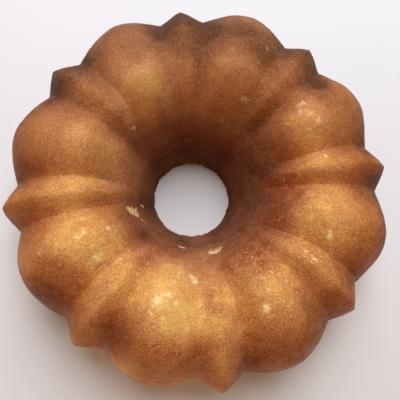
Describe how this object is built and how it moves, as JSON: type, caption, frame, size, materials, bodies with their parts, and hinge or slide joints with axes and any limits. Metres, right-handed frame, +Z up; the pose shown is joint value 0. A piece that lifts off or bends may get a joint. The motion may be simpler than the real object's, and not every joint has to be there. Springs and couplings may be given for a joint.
{
  "type": "fluted ring cake",
  "caption": "Uncut golden brown fluted ring cake, round lobes alternating with narrow pointed ridges round a flared central hole, flat underneath.",
  "frame": {"origin": "on the flat base, at the middle of the cake's outline", "axes": "+Z up, the way the cake stands with its crown up; +X along one of the narrow ridges"},
  "size_m": [0.2374, 0.2381, 0.084],
  "materials": {
    "golden_crust": "matte"
  },
  "bodies": {
    "root": {"fluted_ring_cake": "golden_crust"}
  },
  "joints": []
}
